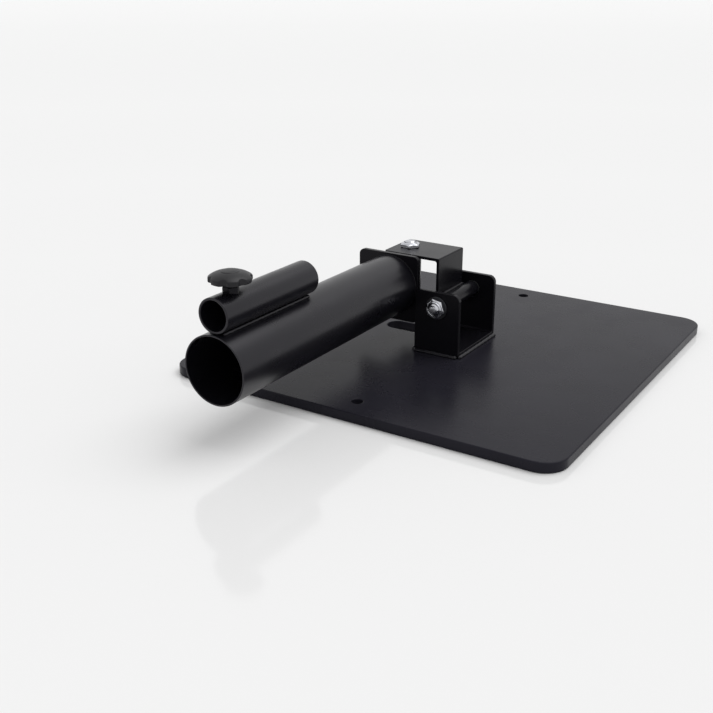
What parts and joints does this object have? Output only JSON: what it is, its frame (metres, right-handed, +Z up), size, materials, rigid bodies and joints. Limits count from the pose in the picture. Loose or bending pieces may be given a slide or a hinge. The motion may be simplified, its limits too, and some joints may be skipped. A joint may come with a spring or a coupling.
{
  "type": "barbell pivot attachment",
  "caption": "Floor plate with a U bracket, a tilting yoke and a swivelling tube that takes a barbell's sleeve; a small tube with a star-knob clamp lies on top.",
  "frame": {"origin": "on the floor plate's underside, on the floor, below the middle of the axle", "axes": "+Z up; the axle lies along Y above the origin, the bar tube points to -Y at rest and lies left of the axle, and the plate's sides are along X and Y"},
  "size_m": [0.35, 0.4471, 0.1301],
  "materials": {
    "powder_coat": "semi-gloss black powder coat",
    "zinc": "bright zinc plate",
    "nylon": "black nylon",
    "knob_plastic": "fine-grained black plastic"
  },
  "bodies": {
    "base": {"base_plate": "powder_coat", "base_bracket": "powder_coat", "bracket_weld_left": "powder_coat", "bracket_weld_right": "powder_coat", "bracket_weld_front": "powder_coat", "bracket_weld_back": "powder_coat", "axle_bolt": "zinc", "axle_nut": "zinc", "axle_nut_insert": "nylon", "axle_washer_back": "zinc", "axle_washer_front": "zinc", "axle_spacer_back": "nylon", "axle_spacer_front": "nylon"},
    "yoke": {"yoke_strap": "powder_coat", "yoke_axle_tube": "powder_coat", "yoke_weld_upper": "powder_coat", "yoke_weld_lower": "powder_coat", "pivot_bolt": "zinc", "pivot_nut": "zinc", "pivot_nut_insert": "nylon", "pivot_washer": "zinc"},
    "swivel": {"pivot_sleeve": "powder_coat", "pivot_bush_upper": "nylon", "pivot_bush_lower": "nylon", "neck_plate": "powder_coat", "neck_weld_left": "powder_coat", "neck_weld_right": "powder_coat", "end_plate": "powder_coat", "bar_tube": "powder_coat", "bar_tube_weld": "powder_coat", "small_tube": "powder_coat", "small_tube_weld_left": "powder_coat", "small_tube_weld_right": "powder_coat", "clamp_nut": "powder_coat"},
    "clamp_stud": {"clamp_screw": "zinc"},
    "clamp_knob": {"knob_head": "knob_plastic"}
  },
  "joints": [
    {"name": "yoke_tilt", "type": "hinge", "parent": "base", "child": "yoke", "pos_m": [0, 0, 0.051], "axis": [0, 1, 0], "range_deg": [-5, 90]},
    {"name": "tube_swivel", "type": "hinge", "parent": "yoke", "child": "swivel", "pos_m": [-0.0473, 0, 0.062], "axis": [0, 0, -1], "range_deg": [0, 160]},
    {"name": "clamp_travel", "type": "slide", "parent": "swivel", "child": "clamp_stud", "axis": [0, 0, 1], "range_m": [0, 0.0055]},
    {"name": "clamp_turn", "type": "hinge", "parent": "clamp_stud", "child": "clamp_knob", "pos_m": [-0.0503, -0.24658, 0.1187], "axis": [0, 0, 1], "range_deg": [0, 1800]}
  ],
  "couplings": [
    {"joint": "clamp_travel", "follows": "clamp_turn", "m_per_rad": 0.00015915}
  ]
}
